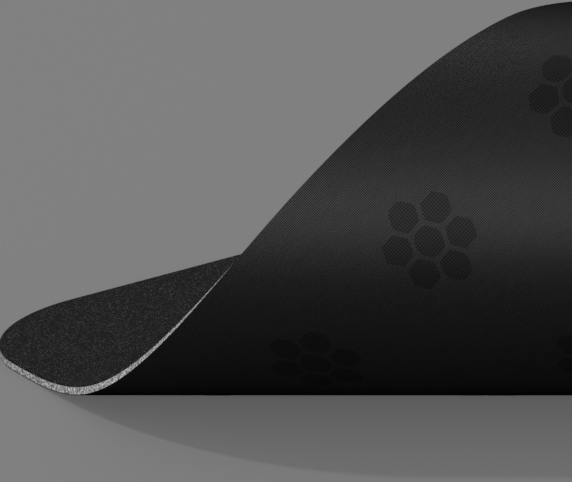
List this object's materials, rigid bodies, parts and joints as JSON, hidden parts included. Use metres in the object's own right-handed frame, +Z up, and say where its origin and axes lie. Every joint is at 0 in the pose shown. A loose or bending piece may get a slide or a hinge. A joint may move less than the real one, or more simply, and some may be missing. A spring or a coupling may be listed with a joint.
{
  "type": "mouse pad",
  "caption": "Thin soft mouse pad of cloth bonded to rubber, lying flat with one corner rolled up and over to show its textured non-slip base.",
  "frame": {"origin": "centre of the pad's rectangle, on the desk that it lies on", "axes": "+X along the long side, +Y along the short side away from the rolled corner, +Z up"},
  "size_m": [0.25, 0.21, 0.0765],
  "materials": {
    "base_rubber": "black, fine twill imprint, low sheen",
    "foam_rubber": "light grey speckled cut foam, matt",
    "adhesive": "thin dark hot-melt film",
    "black_cloth": "black micro-weave with fine grey flecks"
  },
  "bodies": {
    "root": {"base_skin": "base_rubber", "foam_core": "foam_rubber", "bond_film": "adhesive", "cloth_top": "black_cloth"}
  },
  "joints": []
}
